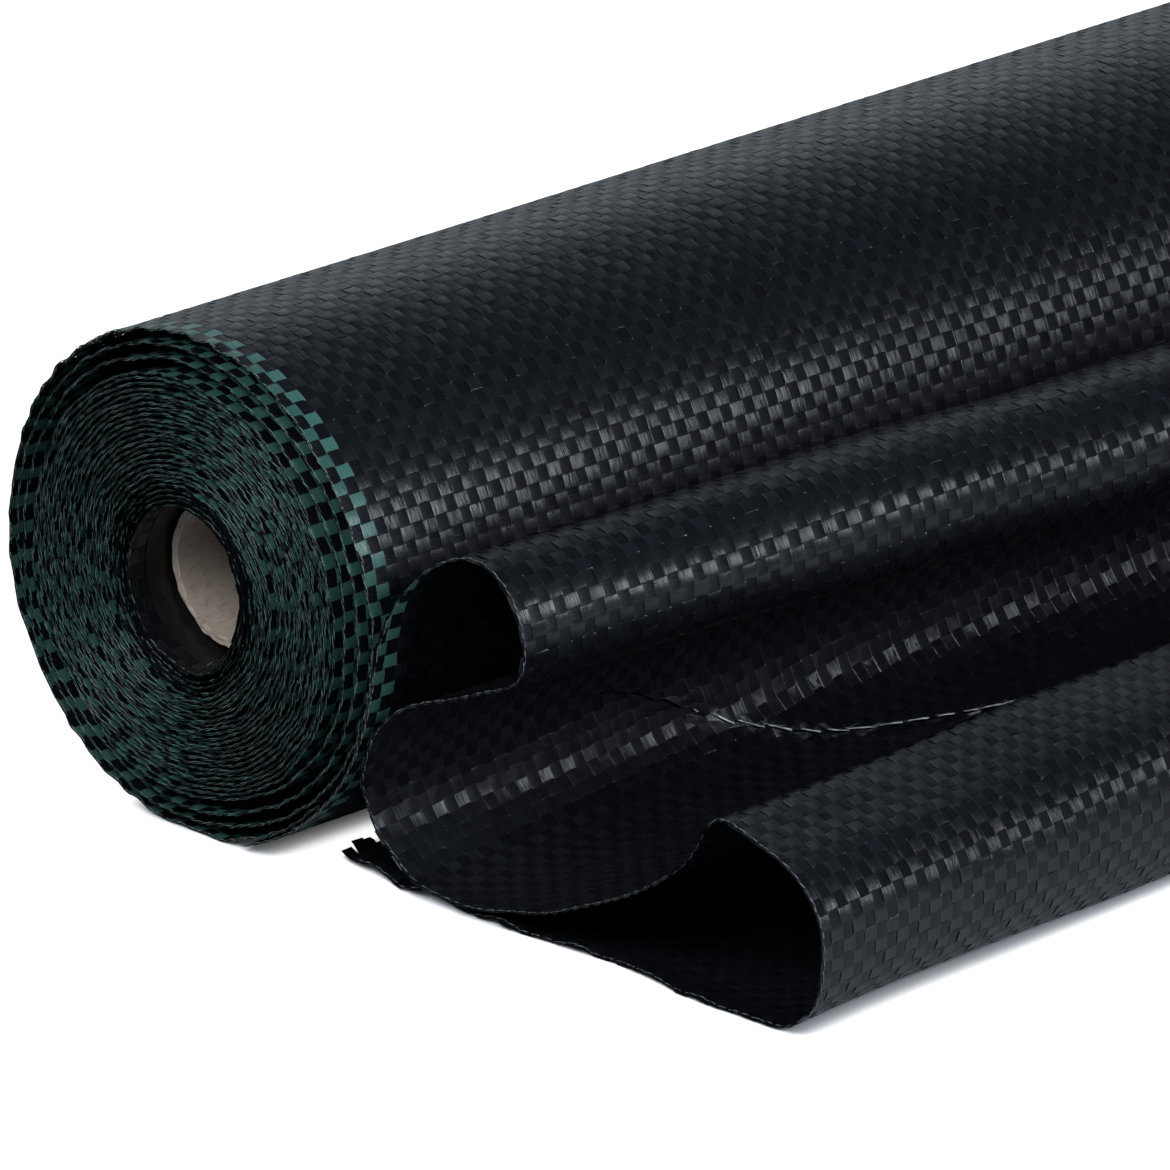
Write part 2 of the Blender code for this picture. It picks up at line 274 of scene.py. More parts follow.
# A direction that no thread runs in
OFF_THREAD = (0.31, 0.2, 0.93)
THREAD_INSET = 0.0004
THREAD_TWIST = 0.00014
THREAD_DEPTH = 0.00020
THREAD_WANDER = (0.0001, 0.02)
THREAD_LANE = 0.0008
THREAD_FLOOR = 0.00005
OUTER_THREAD_RADIUS = 0.00009
TURN_THREAD_RADIUS = 0.00011
FAR_THREAD_RADIUS = 0.00010
PLEAT_THREAD_RADIUS = 0.00013
PLEAT_THREAD_START = 0.85
PLEAT_THREAD_SHORT = 0.002
PLEAT_THREAD_BACK = 0.0006
PLEAT_THREAD_TWIST = 0.0001
FINE_THREAD_STEP = 0.0008
TURN_THREAD_STEP = 0.0012
FAR_THREAD_STEP = 0.0014
LOOSE_THREAD_WIDTH = 0.007
LOOSE_THREAD_SHORT = 0.001

# Core
CORE_SIDES = 144
CORE_PLIES = 4
CORE_CUTS = 7
CORE_SMOOTH_ANGLE = 40
CORE_END_REACH = 0.0001
TORN_DEPTH = 0.00035
TORN_LEAST = 0.2
TORN_WAVE = (1.0, 0.35, 31)
TORN_PLY_SCALE = 900
CORE_DENT_WAVE = (0.00012, 0.25, 32)

# Pieces of the winding: widths across the web, and where the outer turn starts
OUTER_OVERLAP = 0.03
MIDDLE_START = 0.025
MIDDLE_COLUMNS = 86
INNER_WIDTHS = (0.0, 0.012, 0.02, 0.1525, 0.285, 0.299, 0.305)
SHEET_WIDTHS = (0.0112, 0.02, 0.1525, 0.285, 0.2995)
SHEET_STEP = 0.0045

# Streaks in a tape's finish: length, width, and how far each tape's pattern is from the next one's
FINE_STREAKS = (0.010, 0.00014, 3.7)
BROAD_STREAKS = (0.006, 0.0011, 3.7)
CLOUDS = (0.004, 0.003, 9.1)
FINE_HEIGHT = 0.000065
BROAD_HEIGHT = 0.00009
CLOUD_HEIGHT = 0.00006
TAPE_CROWN = 0.00005
# Shares of a tape's half width over which a painted highlight lightens its edges
EDGE_HIGHLIGHT = (0.86, 0.97)


def photo_camera():
    """A long lens, close to a parallel view, at the photograph's angle."""
    right = Vector(VIEW_RIGHT).normalized()
    forward = Vector(VIEW_FORWARD).normalized()
    up = right.cross(forward).normalized()
    camera_data = bpy.data.cameras.new("photo_camera")
    camera_data.lens = LENS
    camera_data.sensor_width = SENSOR_WIDTH
    camera_data.clip_start = NEAREST_SEEN
    camera_data.clip_end = FURTHEST_SEEN
    camera = bpy.data.objects.new("photo_camera", camera_data)
    bpy.context.scene.collection.objects.link(camera)
    aim = Vector(AXIS_START) + right * AIM_RIGHT + up * AIM_UP
    turn = Matrix((right, up, -forward)).transposed().to_4x4()
    camera.matrix_world = Matrix.Translation(aim - forward * VIEW_DISTANCE) @ turn
    bpy.context.scene.camera = camera


photo_camera()


# Forms


def eased(share):
    share = np.clip(share, 0, 1)
    return share * share * (3 - 2 * share)


def around_axis(radius, angle):
    turn = np.radians(angle)
    return radius * np.cos(turn), radius * np.sin(turn)


def ripple(places, wavelength, seed):
    """A soft random wave over the places, mostly between -1 and 1."""
    rng = np.random.default_rng(seed)
    places = np.asarray(places, float)
    total = np.zeros(places.shape[:-1])
    for _ in range(COSINES):
        heading = rng.normal(size=places.shape[-1])
        heading /= np.linalg.norm(heading)
        size = 2 * math.pi / (wavelength * rng.uniform(*COSINE_SPREAD))
        total += np.cos(places @ heading * size + rng.uniform(0, 2 * math.pi))
    return total / math.sqrt(COSINES / 2) * COSINE_LEVEL


def wave(places, size, wavelength, seed):
    return size * ripple(places, wavelength, seed)


def waves(places, several):
    return sum(wave(places, *one) for one in several)


def turn_radius(turned):
    tight = INNER_TURN_RADIUS + turned * TIGHT_PITCH
    whole = np.clip(np.floor(turned - TIGHT_TURNS), 0, LOOSE_TURNS - 1)
    part = turned - TIGHT_TURNS - whole
    loose = LOOSE_START_RADIUS + (whole + eased(part / RAMP_SHARE)) * LOOSE_PITCH
    climbed = eased(TUCK_TURNS / RAMP_SHARE) * LOOSE_PITCH
    depth = max(LOOSE_PITCH - climbed - FABRIC_THICKNESS - TUCK_GAP, 0)
    tucked = OUTER_TURN_RADIUS - depth * eased((turned - TURNS) / TUCK_TURNS)
    return np.where(turned <= TIGHT_TURNS, tight, np.where(turned <= TURNS, loose, tucked))


def sag(turned, angle):
    """How far the tight turns hang below round: not on the core, and not where they turn loose."""
    off = (angle - SAG_ANGLE + 180) % 360 - 180
    corner = np.exp(-((off / SAG_SPREAD_ANGLE) ** 2))
    starting = eased(turned / SAG_START_TURNS)
    return CORE_SAG * corner * starting * (1 - eased(turned / (TIGHT_TURNS - LOOSE_TURNS)))


def smooth_through(points, steps):
    """A smooth run through the points, with this many steps between each two."""
    ends = np.concatenate([points[:1], points, points[-1:]])
    t = (np.arange(steps) / steps)[:, None]
    run = []
    for before, start, end, after in zip(ends, ends[1:], ends[2:], ends[3:]):
        run.append(
            start * (2 - 5 * t**2 + 3 * t**3) / 2
            + end * (t + 4 * t**2 - 3 * t**3) / 2
            + before * (-t + 2 * t**2 - t**3) / 2
            + after * (t**3 - t**2) / 2
        )
    return np.concatenate(run + [points[-1:]])


def travelled(line):
    """How far along the line, seen along the axis, each of its points lies."""
    return np.concatenate([[0], np.cumsum(np.linalg.norm(np.diff(line[:, [0, 2]], axis=0), axis=1))])


def fold_points(across):
    """Each as (x, near edge's shift, z) from the roll's axis."""
    points = []
    for out, rise, drift, shift in ARCH_ONE_SHARES:
        x = WRAP_RADIUS + out * (ARCH_ONE_REACH - WRAP_RADIUS) + drift * across * ARCH_ONE_DRIFT
        points.append((x, shift * NEAR_EDGE_SHIFT, rise * ARCH_ONE_RISE))
    for angle, slack, shift in HUG_SHARES:
        x, z = around_axis(HUG_RADIUS + slack * HUG_SLACK, angle)
        points.append((x, shift * NEAR_EDGE_SHIFT, z))
    for out, height, drift, shift in ARCH_TWO_SHARES:
        x = WRAP_RADIUS + out * (ARCH_TWO_REACH - WRAP_RADIUS) + drift * across * ARCH_TWO_DRIFT
        z = HALF_THICKNESS + height * (ARCH_TWO_HEIGHT - FABRIC_THICKNESS) - AXIS_HEIGHT
        points.append((x, shift * NEAR_EDGE_SHIFT, z))
    return np.array(points)


def averaged(line, reach):
    """The line with each point the average of those within this many steps."""
    padded = np.concatenate([np.repeat(line[:1], reach, 0), line, np.repeat(line[-1:], reach, 0)])
    return np.mean([padded[k : k + len(line)] for k in range(2 * reach + 1)], axis=0)


def loose_section(across):
    """The loose end's middle line as (x, near edge's shift, z), and where its crest and cut lie."""
    angles = np.linspace(WRAP_START_ANGLE, LEAVE_ANGLE, WRAP_POINTS)
    x, z = around_axis(WRAP_RADIUS, angles)
    wrap = np.stack([x, np.zeros_like(x), z], axis=1)
    folds = smooth_through(np.concatenate([wrap[-1:], fold_points(across)]), FOLD_STEPS)
    shelf = len(ARCH_ONE_SHARES) * FOLD_STEPS
    least = np.where(np.arange(len(folds)) < shelf, WRAP_RADIUS, HUG_RADIUS)
    slant = eased(across * ACROSS_STEPS) * CUT_END_SLANT
    cut_end = np.array((CUT_END_REACH - slant, NEAR_EDGE_SHIFT, FLOOR))
    panel = folds[-1] + (cut_end - folds[-1]) * np.linspace(0, 1, PANEL_POINTS)[1:, None]
    line = np.concatenate([wrap[:-1], folds, panel])
    least = np.concatenate([np.zeros(len(wrap) - 1), least, np.zeros(len(panel))])
    run = travelled(line)
    crest = run[len(wrap) - 1 + CREST_POINT * FOLD_STEPS]
    even = np.arange(0, run[-1] + SPARE_LENGTH, GRID_STEP / 2)
    line = np.stack([np.interp(even, run, line[:, k]) for k in range(3)], axis=1)
    line[:, 0] -= np.clip(even - run[-1], 0, None)
    least = np.interp(even, run, least)
    for _ in range(SMOOTH_ROUNDS):
        line = averaged(line, SMOOTH_REACH)
        spread = np.maximum(1, least / np.hypot(line[:, 0], line[:, 2]))
        line[:, 0] *= spread
        line[:, 2] = np.maximum(line[:, 2] * spread, FLOOR)
    smooth_run = travelled(line)
    length = np.interp(run[-1], even, smooth_run)
    return line, smooth_run, np.interp(crest, even, smooth_run), length


class Web:
    """A stretch of fabric: its middle surface on a grid of lengths along and widths across."""

    def __init__(self, places, first, last, step, widths):
        self.places, self.first, self.last, self.step, self.widths = places, first, last, step, widths
        along = np.gradient(places, axis=0)
        across = np.gradient(places, axis=1)
        face = np.cross(across, along)
        self.faces = face / np.maximum(np.linalg.norm(face, axis=2, keepdims=True), TINY)

    def lengths(self):
        return self.first + self.step * np.arange(len(self.places))

    def at(self, length, width, height=0.0):
        """The points at these lengths and widths, this far out from the middle surface."""
        length, width = np.broadcast_arrays(np.asarray(length, float), np.asarray(width, float))
        rows, columns = self.places.shape[:2]
        row = np.clip((length - self.first) / self.step, 0, rows - GRID_MARGIN)
        column = np.interp(width, self.widths, np.arange(columns))
        column = np.clip(column, 0, columns - GRID_MARGIN)
        r, c = row.astype(int), column.astype(int)
        fr, fc = (row - r)[..., None], (column - c)[..., None]

        def between(grid):
            low = grid[r, c] * (1 - fc) + grid[r, c + 1] * fc
            high = grid[r + 1, c] * (1 - fc) + grid[r + 1, c + 1] * fc
            return low * (1 - fr) + high * fr

        place = between(self.places) + between(self.faces) * np.asarray(height)[..., None]
        place[..., 2] = np.maximum(place[..., 2], TAPE_FLOOR)
        return place


def inner_cut_away(turned):
    """How much of the near edge, its marker tapes, the askew cut at the inner end takes away."""
    kept = eased((turned - INNER_CUT_TURN) / INNER_CUT_TURNS)
    return MARKER_TAPES * WARP_PITCH * INNER_CUT_TAPES * (1 - kept)


def roll_web(first_turned, last_turned, widths):
    """The winding between two counts of turns, on its own lengths from the inner end."""
    turned = np.linspace(0, TURNS + TUCK_TURNS, SPIRAL_STEPS)
    angle = WRAP_START_ANGLE + 360 * (turned - TURNS)
    radius = turn_radius(turned) + sag(turned, angle)
    x, z = around_axis(radius, angle)
    z = np.maximum(z, FLOOR)
    run = travelled(np.stack([x, x, z], axis=1))
    first, last = np.interp([first_turned, last_turned], turned, run)
    lengths = np.arange(first, last + GRID_STEP, GRID_STEP)
    along = lengths[:, None]
    wander = wave(along, *PACE_WAVE) if first_turned < TIGHT_TURNS else 0
    at = np.clip(lengths + wander, first, last)
    x, z, t = (np.interp(at, run, values) for values in (x, z, turned))
    widths = np.asarray(widths, float)
    out = np.hypot(x, z)
    nx, nz = x / out, z / out
    inside = eased((TURNS - INSIDE_START - t) / INSIDE_TURNS)
    bulge_share = OUTER_BULGE_SHARE + (1 - OUTER_BULGE_SHARE) * inside
    slide_share = OUTER_SLIDE_SHARE + (1 - OUTER_SLIDE_SHARE) * inside
    flare = wave(along, *FLARE_WAVE) * (OUTER_FLARE + (INNER_FLARE - OUTER_FLARE) * inside)
    turn_bulge = wave(np.stack([out, TURN_WAVE_RADIUS * nx, TURN_WAVE_RADIUS * nz], axis=1), *TURN_WAVE)
    edge_bulge = wave(along, *EDGE_WAVE)
    near_slide, far_slide = waves(along, NEAR_SLIDE_WAVES), waves(along, FAR_SLIDE_WAVES)
    stand_out = TURN_SET_BACK * np.clip(t - TIGHT_TURNS, 0, LOOSE_TURNS) - INNER_STAND_OUT
    leaning = LEAN * (1 - eased(t / LEANING_TURNS)) * np.clip(-nx, 0, 1)
    places = np.zeros((len(lengths), len(widths), 3))
    for column, width in enumerate(widths):
        near = 1 - eased(width / EDGE_REACH)
        far = 1 - eased((FABRIC_WIDTH - width) / EDGE_REACH)
        end = max(near, far)
        at_edge = 1 - eased(min(width, FABRIC_WIDTH - width) / FLARE_REACH)
        spot = np.stack([x, np.full_like(x, width * ROLL_WAVE_STRETCH), z], axis=1)
        push = (turn_bulge * end + wave(spot, *ROLL_WAVE)) * bulge_share + edge_bulge * end + flare * at_edge
        slide = (near_slide * near + far_slide * far) * slide_share - inner_cut_away(t) + stand_out * near
        places[:, column, 0] = x + nx * push + leaning * (1 - eased(width / CORE_SET_BACK))
        places[:, column, 1] = width + slide
        places[:, column, 2] = np.maximum(z + nz * push, FLOOR)
    web = Web(places + AXIS_START, first, last, GRID_STEP, widths)
    web.turned = t
    return web


def loose_web():
    """The loose end from where it is parted from the winding to its cut end."""
    widths = np.linspace(-EDGE_SPARE, FABRIC_WIDTH + EDGE_SPARE, LOOSE_GRID_COLUMNS)
    lines, limits, crests = [], [], []
    for width in widths:
        across = min(max(width / FABRIC_WIDTH, 0), 1)
        line, run, crest, length = loose_section(across)
        lines.append((line, run))
        limits.append(length)
        crests.append(crest)
    last = max(limits)
    rows = int((last + SPARE_ROWS_LENGTH) / LOOSE_GRID_STEP)
    lengths = np.arange(rows) * LOOSE_GRID_STEP
    crest = crests[1]
    leave = WRAP_RADIUS * math.radians(LEAVE_ANGLE - WRAP_START_ANGLE)
    cut_share = eased((lengths - leave) / (crest - leave))
    cut_away = MARKER_TAPES * WARP_PITCH * LOOSE_CUT_TAPES * cut_share
    places = np.zeros((rows, len(widths), 3))
    for column, (width, (line, run)) in enumerate(zip(widths, lines)):
        for axis in range(3):
            places[:, column, axis] = np.interp(lengths, run, line[:, axis])
        places[:, column, 1] += width - cut_away
    wavy = np.interp(places[:, 1, 0], *PANEL_EDGE) - NEAR_EDGE_SHIFT * PANEL_EDGE_SHARE
    panel = eased((lengths - last + PANEL_LENGTH) / PANEL_BLEND)[:, None]
    places[..., 1] += wavy[:, None] * panel * (1 - eased(widths / PANEL_EDGE_REACH))
    web = Web(places, 0, last, LOOSE_GRID_STEP, widths)
    standing = eased((lengths - leave) / LOOSE_WAVE_START)[:, None]
    push = waves(places * np.array((1, LOOSE_WAVE_STRETCH, 1)), LOOSE_WAVES)
    places = places + web.faces * (push * standing)[..., None]
    fold = pleat_lengths(places, lengths, crest)
    short = fold - lengths[:, None]
    overlap = np.clip(short / LOOSE_GRID_STEP, 0, 1) * (1 - eased(short / PLEAT_REACH))
    overlap = overlap * eased((places[..., 1] - PLEAT_START) / PLEAT_SPREAD)
    onward = np.gradient(places, axis=0)
    onward /= np.maximum(np.linalg.norm(onward, axis=2, keepdims=True), TINY)
    places = places + (onward * PLEAT_OVERHANG - web.faces * PLEAT_DEPTH) * overlap[..., None]
    lift = PANEL_LIFT * (0.8 + ripple(places[..., :2], PANEL_LIFT_WAVELENGTH, LIFT_SEED))
    lift = lift * panel * (1 - eased(widths / PANEL_LIFT_REACH))
    places[..., 2] = np.maximum(places[..., 2] + lift, FLOOR)
    web = Web(places + AXIS_START, 0, last, LOOSE_GRID_STEP, widths)
    web.cut_away, web.limits, web.fold = cut_away, limits, fold
    row = np.clip((fold / LOOSE_GRID_STEP).astype(int), 0, rows - 1)
    at_fold = places[row, np.arange(len(widths)), 1] - PLEAT_START
    web.turn_in = PLEAT_TURN_IN * np.minimum(1, eased(at_fold / PLEAT_SPREAD) / PLEAT_TURN_SHARE)
    return web


def pleat_lengths(places, lengths, crest):
    """Where the pleat's edge crosses each column of the loose end, as lengths along it."""
    rows = np.flatnonzero((lengths > crest) & (lengths < crest + VALLEY_REACH))
    columns = places[rows]
    wanted_x = np.interp(columns[..., 1], PLEAT_LINE[0], PLEAT_LINE[1])
    wanted_z = np.interp(columns[..., 1], PLEAT_LINE[0], PLEAT_LINE[2])
    off = np.hypot(columns[..., 0] - wanted_x, columns[..., 2] - wanted_z)
    nearest = lengths[rows[np.argmin(off, axis=0)]]
    return averaged(averaged(nearest, PLEAT_SMOOTH_REACH), PLEAT_SMOOTH_REACH)


# Tapes


def finished_piece(name, mesh, finish):
    mesh.materials.append(finish)
    piece = bpy.data.objects.new(name, mesh)
    bpy.context.scene.collection.objects.link(piece)
    return piece


def add_uv(mesh, name, corners):
    mesh.uv_layers.new(name=name).data.foreach_set("uv", corners.ravel())


def square_uv(u0, u1, v0, v1):
    """The corners of one square of a UV map for each face."""
    return np.stack([u0, v0, u0, v1, u1, v1, u1, v0], axis=1)


class Tapes:
    """Gathers the tapes of one piece, each a narrow open strip."""

    def __init__(self):
        self.strips = []

    def add(self, left, right, along, number, width):
        if len(left) > 1:
            self.strips.append((left, right, along, number, width))

    def piece(self, name, finish):
        sizes = [len(strip[0]) for strip in self.strips]
        starts = np.concatenate([[0], np.cumsum([2 * n for n in sizes])])
        points = np.empty((starts[-1], 3))
        quads, lanes, paces = [], [], []
        for strip, start, n in zip(self.strips, starts, sizes):
            left, right, along, number, width = strip
            points[start : start + 2 * n : 2] = left
            points[start + 1 : start + 2 * n : 2] = right
            low = start + 2 * np.arange(n - 1)
            quads.append(np.stack([low, low + 1, low + 3, low + 2], axis=1))
            side = TAPE_LANE * number
            u0, u1 = along[:-1], along[1:]
            lanes.append(square_uv(u0, u1, np.full(n - 1, side), np.full(n - 1, side + width)))
            paces.append(np.abs(u1 - u0))
        quads, lanes, pace = np.concatenate(quads), np.concatenate(lanes), np.concatenate(paces)
        mesh = bpy.data.meshes.new(name)
        mesh.vertices.add(len(points))
        mesh.vertices.foreach_set("co", points.ravel())
        mesh.loops.add(len(quads) * 4)
        mesh.loops.foreach_set("vertex_index", quads.ravel().astype(np.int32))
        mesh.polygons.add(len(quads))
        mesh.polygons.foreach_set("loop_start", np.arange(0, len(quads) * 4, 4, dtype=np.int32))
        smooth = pace > DIP_SHARE * WARP_PITCH
        mesh.polygons.foreach_set("use_smooth", smooth)
        mesh.update(calc_edges=True)
        sharpen_dips(mesh, quads[~smooth])
        add_uv(mesh, "OFBake", laid_in_rows(pace))
        add_uv(mesh, "tape", lanes)
        mesh.validate()
        return finished_piece(name, mesh, finish)


def sharpen_dips(mesh, dips):
    """Marks the edges across the tapes where a float goes over into a dip."""
    at_dip = np.zeros(len(mesh.vertices), bool)
    at_dip[dips.ravel()] = True
    ends = np.empty(len(mesh.edges) * 2, np.int32)
    mesh.edges.foreach_get("vertices", ends)
    ends = np.sort(ends.reshape(-1, 2), axis=1)
    rung = (ends[:, 0] % 2 == 0) & (ends[:, 1] == ends[:, 0] + 1)
    mesh.edges.foreach_set("use_edge_sharp", rung & at_dip[ends[:, 0]])


def laid_in_rows(pace):
    """A UV map with all the tapes end to end, in as many rows as make it about square."""
    place = np.concatenate([[0], np.cumsum(pace)])[:-1]
    total = pace.sum()
    rows = max(1, round(math.sqrt(total / WARP_PITCH)))
    row_length = total / rows * ROW_SPARE
    row = np.floor(place / row_length)
    u0 = (place - row * row_length) / (row_length + 2 * WEFT_PITCH)
    u1 = u0 + pace / (row_length + 2 * WEFT_PITCH)
    v0, v1 = ((row + edge) / (rows + 1) for edge in ROW_EDGES)
    return square_uv(u0, u1, v0, v1)


def floats(count, phase):
    """Stations along a tape, counted in crossings, and how far to which side each lies."""
    crossing = np.repeat(np.arange(count), len(FLOAT_SHARES))
    offset = np.tile(FLOAT_SHARES, count)
    side = np.where((crossing + phase) % 2 == 0, 1.0, -1.0) * np.tile(FLOAT_HEIGHT_SHARES, count)
    return crossing + offset, side * CRIMP


def runs_of(keep):
    """The unbroken runs of kept stations, as slices."""
    edges = np.flatnonzero(np.diff(np.concatenate([[0], keep.astype(int), [0]])))
    return [slice(start, end) for start, end in zip(edges[::2], edges[1::2]) if end - start > 1]


def parted(fold, keep, left, right):
    """A tape's runs up to the pleat's edge and on from under it, with the lengths of both its edges.

    left and right are each the edge's lengths and widths.
    """
    if not fold:
        return [(part, left[0], right[0]) for part in runs_of(keep)]
    found = []
    for beyond, nearer in ((0, np.minimum), (1, np.maximum)):
        edges = [nearer(lengths, fold(widths)[beyond]) for lengths, widths in (left, right)]
        whole = (edges[0] == left[0]) | (edges[1] == right[0])
        reached = whole | np.append(whole[1:], False) | np.append(False, whole[:-1])
        found += [(part, edges[0], edges[1]) for part in runs_of(keep & reached)]
    return found


class Weave:
    """Weaves warp tapes along a web and weft tapes across it.

    near_edge gives the width where the fabric starts at each length, cut the length where it ends
    at each width, and fold the lengths of the pleat's edge there.
    """

    def __init__(self, web, low_tape, high_tape, seed, near_edge=None, cut=None, fold=None):
        self.web, self.low_tape, self.high_tape, self.seed = web, low_tape, high_tape, seed
        self.near_edge, self.cut, self.fold = near_edge or np.zeros_like, cut, fold
        self.rng = np.random.default_rng(seed)
        self.wefts = range(math.ceil(web.first / WEFT_PITCH), math.floor(web.last / WEFT_PITCH) + 1)

    def limit(self, width):
        return self.cut(width) if self.cut else np.full_like(width, self.web.last)

    def wandering(self, along, pitch, number, own_waves):
        """How far a tape wanders aside, half its width and its tilt, at these lengths along it."""
        aside, wider, tilt = (
            wave(along[:, None], size, wavelength, self.seed + seed + number)
            for size, wavelength, seed in own_waves
        )
        return aside, pitch * TAPE_SHARE / 2 * (1 + wider), tilt

    def warp_tapes(self, markers, blacks):
        for i in range(self.low_tape, self.high_tape):
            station, height = floats(len(self.wefts), i + self.wefts[0])
            along = (station + self.wefts[0]) * WEFT_PITCH
            aside, half, tilt = self.wandering(along, WARP_PITCH, i, WARP_WAVES)
            middle = (i + 0.5) * WARP_PITCH + aside
            low = np.maximum(middle - half, self.near_edge(along))
            high = middle + half
            end = self.limit(middle) + (self.rng.uniform(*CUT_UNEVENNESS) if self.cut else 0)
            loosened = np.clip(along - end + FRAY_LENGTH, 0, FRAY_LENGTH) / FRAY_LENGTH if self.cut else 0
            height = height + loosened**2 * self.rng.uniform(*FRAY_RISE)
            shift = loosened**2 * self.rng.uniform(*FRAY_SHIFT)
            low, high = low + shift, high + shift
            if i == 0:
                low = low + FIRST_TAPE_INSET
            keep = (high - low > LEAST_TAPE_WIDTH) & (along <= end) & (along >= self.web.first)
            tapes = markers if i < MARKER_TAPES else blacks
            for part, left_at, right_at in parted(self.fold, keep, (along, low), (along, high)):
                left_height = np.interp(left_at, along, height) - tilt
                right_height = np.interp(right_at, along, height) + tilt
                left = self.web.at(left_at[part], low[part], left_height[part])
                right = self.web.at(right_at[part], high[part], right_height[part])
                tapes.add(left, right, along[part], i + 1, WARP_PITCH * TAPE_SHARE)

    def weft_tapes(self, tapes):
        from_width, to_width = self.low_tape * WARP_PITCH, self.high_tape * WARP_PITCH
        for j in self.wefts:
            station, height = floats(self.high_tape - self.low_tape, self.low_tape + j + 1)
            across = (station + self.low_tape + 0.5) * WARP_PITCH
            aside, half, tilt = self.wandering(across, WEFT_PITCH, j, WEFT_WAVES)
            middle = j * WEFT_PITCH + aside
            stick_out = self.rng.uniform(*WEFT_STICK_OUT)
            near_limit = stick_out if self.low_tape == 0 else -WEFT_OVERLAP
            far_limit = stick_out if self.high_tape == WARP_COUNT else -WEFT_OVERLAP
            across = np.clip(across, from_width - near_limit, to_width + far_limit)
            across = np.maximum(across, self.near_edge(middle) - stick_out)
            low, high = middle - half, middle + half
            keep = (high <= self.limit(across)) & (low >= self.web.first)
            keep &= np.concatenate([np.diff(across) > LEAST_STATION_GAP, [True]])
            lane = j % WEFT_LANES + FIRST_WEFT_LANE
            for part, left_at, right_at in parted(self.fold, keep, (low, across), (high, across)):
                left = self.web.at(left_at[part], across[part], height[part] - tilt[part])
                right = self.web.at(right_at[part], across[part], height[part] + tilt[part])
                tapes.add(left, right, across[part], lane, WEFT_PITCH * TAPE_SHARE)


def tape_pieces(of_what, *weaves):
    """The woven tapes as three pieces: along the web, across it, and the marker tapes."""
    blacks, wefts, markers = Tapes(), Tapes(), Tapes()
    for weave in weaves:
        weave.warp_tapes(markers, blacks)
        weave.weft_tapes(wefts)
    return (
        blacks.piece(of_what + "_warp_tapes", black_tape),
        wefts.piece(of_what + "_weft_tapes", shaded_black_weft),
        markers.piece(of_what + "_marker_tapes", green_tape),
    )


# Finishes


class Value:
    """A socket's value, so that shader sums are written as sums."""

    def __init__(self, finish, socket):
        self.finish, self.socket = finish, socket

    def worked(self, operation, *others):
        return self.finish.node("ShaderNodeMath", {"operation": operation}, dict(enumerate((self, *others))))

    def __add__(self, other):
        return self.worked("ADD", other)

    def __sub__(self, other):
        return self.worked("SUBTRACT", other)

    def __mul__(self, other):
        return self.worked("MULTIPLY", other)

    def __truediv__(self, other):
        return self.worked("DIVIDE", other)

    def floor(self):
        return self.worked("FLOOR")

    def absolute(self):
        return self.worked("ABSOLUTE")

    def between(self, low, high):
        return self.finish.node(
            "ShaderNodeMapRange", {"interpolation_type": "SMOOTHSTEP"}, {"Value": self, 1: low, 2: high}
        )


class Finish:
    """A material and its nodes."""

    def __init__(self, name):
        self.material = bpy.data.materials.new(name)
        self.material.use_nodes = True
        self.tree = self.material.node_tree
        self.shader = self.tree.nodes["Principled BSDF"]

    def node(self, kind, settings=None, inputs=None, output=0):
        made = self.tree.nodes.new(kind)
        for key, value in (settings or {}).items():
            setattr(made, key, value)
        for key, value in (inputs or {}).items():
            if isinstance(value, Value):
                self.tree.links.new(value.socket, made.inputs[key])
            else:
                made.inputs[key].default_value = value
        return Value(self, made.outputs[output])

    def noise(self, place, scale=1.0, detail=2.0, **more):
        inputs = {"Vector": place, "Scale": scale, "Detail": detail, **more}
        return self.node("ShaderNodeTexNoise", None, inputs)

    def place(self, *parts):
        return self.node("ShaderNodeCombineXYZ", None, dict(enumerate(parts)))

    def bump(self, height, strength, distance):
        inputs = {"Strength": strength, "Distance": distance, "Height": height}
        return self.node("ShaderNodeBump", None, inputs)

    def blend(self, factor, low, high):
        low, high = (value if isinstance(value, Value) else (*value, 1) for value in (low, high))
        return self.node("ShaderNodeMix", {"data_type": "RGBA"}, {"Factor": factor, 6: low, 7: high}, 2)

    def lanes(self):
        """The piece's own map of lengths along and across its tapes."""
        return self.node("ShaderNodeUVMap", {"uv_map": "tape"})

    def feed(self, **links):
        for name, value in links.items():
            socket = self.shader.inputs[name.replace("_", " ")]
            if isinstance(value, Value):
                self.tree.links.new(value.socket, socket)
            else:
                socket.default_value = value


